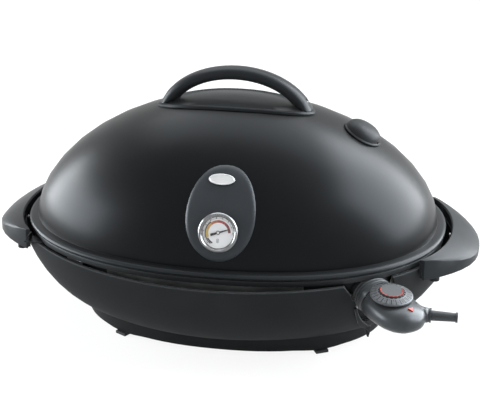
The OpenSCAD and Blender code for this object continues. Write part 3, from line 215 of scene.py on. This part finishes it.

MAT = {
    # the base's far lighter edge colour is partly wear and partly a painted highlight along its rim
    "base_plastic": surface("base_plastic", grey(0.0075, 0.06), grey(0.0115, 0.06), (0.54, 0.66), spec=0.04,
                            grain=1300, grain_d=0.05, edge=grey(0.13, 0.05), edge_r=1.2),
    "handle_plastic": surface("handle_plastic", grey(0.008, 0.08), grey(0.012, 0.08), (0.30, 0.40), spec=0.08,
                              grain=1500, grain_d=0.025, edge=grey(0.06, 0.05), edge_r=0.7),
    "control_plastic": surface("control_plastic", grey(0.018, 0.06), grey(0.026, 0.06), (0.32, 0.40), spec=0.28,
                               grain=1500, grain_d=0.03, edge=grey(0.09, 0.05), edge_r=0.5),
    # the lid's bead is painted a lighter grey than the dome, a painted highlight
    "lid_metal": surface("lid_metal", grey(0.0020, 0.06), grey(0.0032, 0.06), (0.31, 0.37), spec=0.10, grain=900,
                         grain_d=0.012, blot=5.0, peel=0.03, edge=grey(0.03), edge_r=0.5,
                         painted_light_below=(BEAD_TOP, grey(0.013, 0.08))),
    "plate_metal": plate_coating(),
    "shield_metal": surface("shield_metal", grey(0.42), grey(0.52), (0.34, 0.48), metallic=1.0, grain=700,
                            stretch=(1, 1, 0.05), edge_r=0.4),
    "tray_metal": surface("tray_metal", grey(0.50), grey(0.60), (0.30, 0.44), metallic=1.0, grain=700,
                          stretch=(0.05, 1, 1), edge_r=0.4),
    "steel": surface("steel", grey(0.30), grey(0.40), (0.38, 0.52), metallic=1.0, grain=900, stretch=(0.06, 1, 1),
                     edge_r=0.2),
    "chrome": surface("chrome", grey(0.15, 0.02), grey(0.22, 0.02), (0.20, 0.30), metallic=1.0, grain=1400,
                      grain_d=0.004, edge_r=0.3),
    "badge_metal": surface("badge_metal", grey(0.40), grey(0.48), (0.30, 0.42), metallic=0.4, grain=1200,
                           stretch=(0.05, 1, 1), edge=grey(0.70), edge_r=0.4),
    "brass": surface("brass", (0.55, 0.38, 0.13), (0.66, 0.47, 0.18), (0.30, 0.45), metallic=1.0, edge_r=0.2),
    "ceramic": surface("ceramic", (0.62, 0.59, 0.52), (0.72, 0.69, 0.62), (0.6, 0.8), grain_d=0.08, edge_r=0.3),
    "rubber": surface("rubber", grey(0.010), grey(0.018), (0.6, 0.8), spec=0.3, grain_d=0.08, edge_r=0.5),
    "face_white": surface("face_white", (0.82, 0.83, 0.84), (0.88, 0.89, 0.90), (0.40, 0.50), grain_d=0.006,
                          edge_r=0.1),
    "needle_black": surface("needle_black", grey(0.002), grey(0.003), (0.50, 0.60), spec=0.05, grain_d=0.006,
                            edge_r=0.1),
    "glass": clear_glass(),
    "lens_red": surface("lens_red", (0.30, 0.020, 0.014), (0.38, 0.030, 0.020), (0.16, 0.24), spec=0.3,
                        grain_d=0.004, edge=(0.62, 0.12, 0.09), edge_r=0.5),
    "mark_red": surface("mark_red", (0.24, 0.026, 0.018), (0.30, 0.034, 0.024), (0.50, 0.60), spec=0.15,
                        grain_d=0.006, edge_r=0.1),
}
# finishes that differ from the rest of their slot, by node
OWN = {
    "thermometer_plate": surface("gauge_pad", grey(0.013, 0.12), grey(0.018, 0.12), (0.36, 0.44), spec=0.24,
                                 grain=1500, grain_d=0.02, edge_r=0.3),
    "dial_skirt": surface("dial_grey", grey(0.034, 0.04), grey(0.046, 0.04), (0.36, 0.46), spec=0.3, grain=1500,
                          grain_d=0.02, edge=grey(0.14), edge_r=0.5),
    "dial_cap": surface("dial_dark", grey(0.030, 0.03), grey(0.038, 0.03), (0.42, 0.52), spec=0.2, grain=1500,
                        grain_d=0.02, edge_r=0.3),
    "heating_element": surface("element_sheath", (0.10, 0.095, 0.09), (0.16, 0.15, 0.14), (0.38, 0.55),
                               metallic=0.8, grain=1200, blot=30, edge_r=0.2),
    "vent_cover": surface("vent_paint", grey(0.010, 0.05), grey(0.015, 0.05), (0.38, 0.46), spec=0.07, grain=1500,
                          grain_d=0.02, edge=grey(0.04), edge_r=0.5),
    "cord_gland": surface("gland_rubber", grey(0.020, 0.04), grey(0.028, 0.04), (0.42, 0.54), spec=0.25,
                          grain=1400, grain_d=0.03, edge_r=0.4),
}

for name, ob in NODES.items():
    ob.data.materials.clear()
    ob.data.materials.append(OWN.get(name, MAT[SLOT_OF[name]]))
    for face in ob.data.polygons:
        face.use_smooth = True
    ob.data.update()


SHARP_OVER = 34                 # edges that bend more than this many degrees stay sharp
WELD = 0.005 * MM               # points closer than this are one


def shading_group(angle):
    """Joins the solids' separate faces and keeps only edges over this angle sharp."""
    g = bpy.data.node_groups.new("shading", "GeometryNodeTree")
    g.interface.new_socket("Geometry", in_out="INPUT", socket_type="NodeSocketGeometry")
    g.interface.new_socket("Geometry", in_out="OUTPUT", socket_type="NodeSocketGeometry")
    start = g.nodes.new("NodeGroupInput").outputs[0]
    merge = put(g, "GeometryNodeMergeByDistance", {"Geometry": start, "Distance": WELD})
    drop = put(g, "GeometryNodeRemoveAttribute", {"Geometry": merge.outputs[0], "Name": "custom_normal"})
    faces = put(g, "GeometryNodeSetShadeSmooth", {"Geometry": drop.outputs[0]}, domain="FACE")
    edges = put(g, "GeometryNodeSetShadeSmooth", {"Geometry": faces.outputs[0]}, domain="EDGE")
    bent = g.nodes.new("GeometryNodeInputMeshEdgeAngle").outputs["Unsigned Angle"]
    over = put(g, "FunctionNodeCompare", {"A": bent, "B": math.radians(angle)}, operation="GREATER_THAN")
    hard = put(g, "GeometryNodeSetShadeSmooth", {"Geometry": edges.outputs[0], "Selection": over.outputs["Result"],
                                                 "Shade Smooth": False}, domain="EDGE")
    end = g.nodes.new("NodeGroupOutput")
    g.links.new(hard.outputs[0], end.inputs[0])
    return g


SOFT = shading_group(SHARP_OVER)
for ob in NODES.values():
    ob.modifiers.new("shading", "NODES").node_group = SOFT

# ------------------------------------------------------------------ printed and set-in details


def joint_frame(name, across):
    """Frame on a turning joint: Z out of the object along it, X nearest to across."""
    j = JOINTS[name]
    out = -Vector(j["axis"]).normalized()
    x = (Vector(across) - out * out.dot(Vector(across))).normalized()
    m = Matrix((x, out.cross(x), out)).transposed().to_4x4()
    m.translation = Vector(j["pos_m"])
    return m


def piece(name, bm, place, body, slot, mats=None, smooth=False):
    """Turns mesh code in millimetres, made in a local frame, into a piece that rides on a body.

    It wears its slot's finish, unless mats gives the finishes that its faces' indices stand for.
    """
    mesh = bpy.data.meshes.new(name)
    bmesh.ops.recalc_face_normals(bm, faces=bm.faces)
    bm.to_mesh(mesh)
    bm.free()
    mesh.transform(place @ Matrix.Scale(MM, 4))
    for m in mats or [MAT[slot]]:
        mesh.materials.append(m)
    for f in mesh.polygons:
        f.use_smooth = smooth
    ob = bpy.data.objects.new(name, mesh)
    scene.collection.objects.link(ob)
    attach(ob, body)


def slab(bm, outline, height, thick, index=0):
    """Flat slab over an outline of (x, y) points; height(x, y) is its underside."""
    low = [bm.verts.new((x, y, height(x, y))) for x, y in outline]
    top = [bm.verts.new((x, y, height(x, y) + thick)) for x, y in outline]
    n = len(outline)
    faces = [bm.faces.new(low[::-1]), bm.faces.new(top)]
    faces += [bm.faces.new((low[i], low[(i + 1) % n], top[(i + 1) % n], top[i])) for i in range(n)]
    for f in faces:
        f.material_index = index


def sector(bm, r0, r1, a0, a1, height, thick, index=0, step=3.0, centre_y=0.0):
    """Slab between two radii and two angles in degrees, in short pieces so that it can follow a cone."""
    k = max(1, round(abs(a1 - a0) / step))
    angle = [math.radians(a0 + (a1 - a0) * i / k) for i in range(k + 1)]
    for t, u in zip(angle, angle[1:]):
        corners = ((r0, t), (r1, t), (r1, u), (r0, u))
        slab(bm, [(r * math.cos(a), centre_y + r * math.sin(a)) for r, a in corners], height, thick, index)


def level(z):
    """Height function of a level plane."""
    return lambda x, y: z


def revolve(bm, path, turns=96):
    """Ring turned about Z from a closed path of (radius, z); a radius of 0 ends in one point."""
    loops = []
    for r, z in path:
        count = turns if r else 1
        loops.append([bm.verts.new((r * math.cos(math.tau * i / count), r * math.sin(math.tau * i / count), z))
                      for i in range(count)])
    closed = loops[1:] + loops[:1] if path[0][0] else loops[1:]
    for a, b in zip(loops, closed):
        for i in range(turns):
            j = (i + 1) % turns
            ends = (a[i % len(a)], a[j % len(a)], b[j % len(b)], b[i % len(b)])
            bm.faces.new(list(dict.fromkeys(ends)))


def print_ink(name, colour):
    """Printed colour that fades by a sixth in places."""
    faded = tuple(0.85 * c for c in colour)
    return surface(name, faded, colour, (0.45, 0.53), grain_d=0.004, edge_r=0.05)


# gauge scale: coloured bands, black arcs and ticks
GAUGE = joint_frame("needle_turn", (1, 0, 0))
FACE_Z = 5.42                   # top of the gauge face, above the joint's centre
ON_FACE = level(FACE_Z)
INK = 0.03                      # thickness of the print

BAND_IN, BAND_OUT = 13.0, 16.4
BANDS = [(206, 166, (0.62, 0.42, 0.06)), (166, 132, (0.60, 0.32, 0.07)), (132, 96, (0.46, 0.11, 0.03)),
         (96, 54, (0.42, 0.035, 0.02)), (54, 2, (0.22, 0.012, 0.016))]    # from, to and colour, clockwise
inks = [print_ink(f"gauge_band_{i}", c) for i, (_, _, c) in enumerate(BANDS)]
bm = bmesh.new()
for i, (a0, a1, _) in enumerate(BANDS):
    sector(bm, BAND_IN, BAND_OUT, a0, a1, ON_FACE, INK, i)
piece("gauge_bands", bm, GAUGE, "lid", "face_white", inks)

BLACK_ARCS = [(14.4, 16.2, 244, 209), (16.5, 17.8, 238, 128), (20.5, 21.1, 0, 360)]    # radii and angles
TICKS, TICK_FROM, TICK_STEP = 47, 226, 5    # clockwise, in degrees; every fifth one is long
TICK_IN, TICK_OUT, LONG_OUT = 18.2, 19.4, 20.2
SMALL_RINGS = [(1.1, 1.6, -9.4), (0.9, 1.4, -12.0)]    # radii and height on the face
bm = bmesh.new()
for r0, r1, a0, a1 in BLACK_ARCS:
    sector(bm, r0, r1, a0, a1, ON_FACE, INK)
for i in range(TICKS):
    outer, half = (LONG_OUT, 1.4) if i % 5 == 0 else (TICK_OUT, 0.7)
    a = TICK_FROM - TICK_STEP * i
    sector(bm, TICK_IN, outer, a - half, a + half, ON_FACE, INK)
for r0, r1, y in SMALL_RINGS:
    sector(bm, r0, r1, 0, 360, ON_FACE, INK, step=30, centre_y=y)
piece("gauge_ticks", bm, GAUGE, "lid", "needle_black")

# needle: its broad end points to the cold end of the scale at rest, and its fine end the other way
FINE_END_AT = math.radians(20)
ON_NEEDLE, ON_HUB = level(6.42), level(6.9)
BROAD_END = [(-10.5, -1.7), (-2, -1.3), (-2, 1.3), (-10.5, 1.7)]
FINE_END = [(1.5, -1.1), (14.8, -0.6), (14.8, 0.6), (1.5, 1.1)]
bm = bmesh.new()
slab(bm, BROAD_END, ON_NEEDLE, 0.3)
slab(bm, FINE_END, ON_NEEDLE, 0.25)
sector(bm, 1.9, 2.6, 0, 360, ON_NEEDLE, 0.4)
piece("needle_paint", bm, GAUGE @ Matrix.Rotation(FINE_END_AT, 4, "Z"), "needle", "needle_black")

bm = bmesh.new()
sector(bm, 0.3, 1.7, 0, 360, ON_HUB, 0.15)
piece("needle_hub", bm, GAUGE, "needle", "face_white")

RING_PATH = [(23.4, 7.2), (22.9, 7.2), (21.4, FACE_Z + 0.1), (21.2, FACE_Z), (23.4, FACE_Z)]
bm = bmesh.new()
revolve(bm, RING_PATH)
piece("gauge_ring", bm, GAUGE, "lid", "chrome", smooth=True)

# dial print: dashes round the cap and broad ticks down the skirt
CONTROL_AT = math.radians(-48)  # direction in which the control sticks out of the grill, from +X
DIAL = joint_frame("dial_turn", (math.cos(CONTROL_AT), math.sin(CONTROL_AT), 0))
DIAL_RISE = 7.6                 # height of the cap above the skirt's foot; the joint is at the top of the cap
CONE_R, CONE_END = 17.5, 27.0   # radii between which the skirt slopes down
CONE_Z, CONE_LOW = DIAL_RISE - 1.4, 3.0
ON_CAP = level(0.44)


def on_skirt(x, y):
    """Height of the dial's skirt, a level ring and then a cone."""
    r = min(max(math.hypot(x, y), CONE_R), CONE_END)
    return CONE_Z + (CONE_LOW - CONE_Z) * (r - CONE_R) / (CONE_END - CONE_R) - 0.02 - DIAL_RISE


DASHES, DASH_FROM, DASH_STEP, DASH_HALF = 13, -152, 19, 6    # degrees
SKIRT_TICKS, SKIRT_TICK_HALF = 24, 1.2
bm = bmesh.new()
for i in range(DASHES):
    a = DASH_FROM + DASH_STEP * i
    sector(bm, 14.9, 16.0, a - DASH_HALF, a + DASH_HALF, ON_CAP, 0.12)
    sector(bm, 16.15, 17.9, a - DASH_HALF, a + DASH_HALF, on_skirt, 0.14)
for i in range(SKIRT_TICKS):
    a = 360 / SKIRT_TICKS * (i + 0.5)
    sector(bm, 19.4, 26.8, a - SKIRT_TICK_HALF, a + SKIRT_TICK_HALF, on_skirt, 0.1)
piece("dial_marks", bm, DIAL, "dial", "needle_black")

# smooth neck between the control's body and the collar of its cord gland
NECK = Matrix.Translation((0.279, -0.197, 0.1105)) @ Matrix.Rotation(math.radians(90), 4, "Y")
NECK_PATH = [(0, -6), (15.4, -6), (14.6, -3.5), (13.0, -1), (11.7, 1.5), (10.7, 4), (10.05, 7), (9.75, 11), (0, 11)]
bm = bmesh.new()
revolve(bm, NECK_PATH)
piece("gland_neck", bm, NECK, "control", "control_plastic", smooth=True)

# ------------------------------------------------------------------ floor, lights, world


def shown_rays(tree):
    """1 for rays that the camera, metal or glass looks along, and 0 for light."""
    path = put(tree, "ShaderNodeLightPath")
    seen = calc(tree, "MAXIMUM", path.outputs["Is Camera Ray"], path.outputs["Is Glossy Ray"])
    return calc(tree, "MAXIMUM", seen, path.outputs["Is Transmission Ray"])


FLOOR_HALF = 30                 # metres
FLOOR_WHITE = 0.88              # share of the floor that is plain white to the eye; the rest takes light and shadow
mesh = bpy.data.meshes.new("floor")
mesh.from_pydata([(x * FLOOR_HALF, y * FLOOR_HALF, 0) for x, y in ((-1, -1), (1, -1), (1, 1), (-1, 1))], [],
                 [(0, 1, 2, 3)])
floor = bpy.data.objects.new("floor", mesh)
scene.collection.objects.link(floor)
fmat, ftree, fbsdf = new_shader("floor")
fbsdf.inputs["Base Color"].default_value = (0.86, 0.86, 0.86, 1)
fbsdf.inputs["Roughness"].default_value = 0.9
fbsdf.inputs["Specular IOR Level"].default_value = 0.1
white = put(ftree, "ShaderNodeEmission", {"Color": (1, 1, 1, 1), "Strength": 1.0})
blend = put(ftree, "ShaderNodeMixShader", {0: calc(ftree, "MULTIPLY", shown_rays(ftree), FLOOR_WHITE),
                                           1: fbsdf.outputs[0], 2: white.outputs[0]})
ftree.links.new(blend.outputs[0], ftree.nodes["Material Output"].inputs[0])
floor.data.materials.append(fmat)

WORLD_LIGHT = 0.55              # how strongly the white surroundings light the object
world = bpy.data.worlds.new("world")
scene.world = world
world.use_nodes = True
wtree = world.node_tree
back = wtree.nodes["Background"]
back.inputs[0].default_value = (1, 1, 1, 1)
wtree.links.new(spread(wtree, shown_rays(wtree), WORLD_LIGHT, 1.0, 0, 1), back.inputs[1])


LAMP_TINT = (0.93, 0.97, 1.0)
AIM = Vector((0, 0, 0.2))       # point that the lamps shine at


def softbox(name, azimuth, elevation, distance, wide, high, watts):
    """Area lamp seen from the object at that azimuth (0 front, 90 right) and elevation."""
    az, el = math.radians(azimuth), math.radians(elevation)
    d = bpy.data.lights.new(name, "AREA")
    d.shape = "RECTANGLE"
    d.size, d.size_y, d.energy = wide, high, watts
    d.color = LAMP_TINT
    o = bpy.data.objects.new(name, d)
    scene.collection.objects.link(o)
    away = Vector((math.sin(az) * math.cos(el), -math.cos(az) * math.cos(el), math.sin(el)))
    o.location = AIM + away * distance
    o.rotation_mode = "QUATERNION"
    o.rotation_quaternion = (-away).to_track_quat("-Z", "Y")


softbox("box_left", -90, 11, 2.0, 2.3, 1.05, 135)
softbox("box_right", 112, 29, 2.1, 2.6, 2.2, 285)
softbox("box_top", 178, 60, 2.2, 3.0, 1.7, 62)

scene.view_settings.view_transform = "Standard"
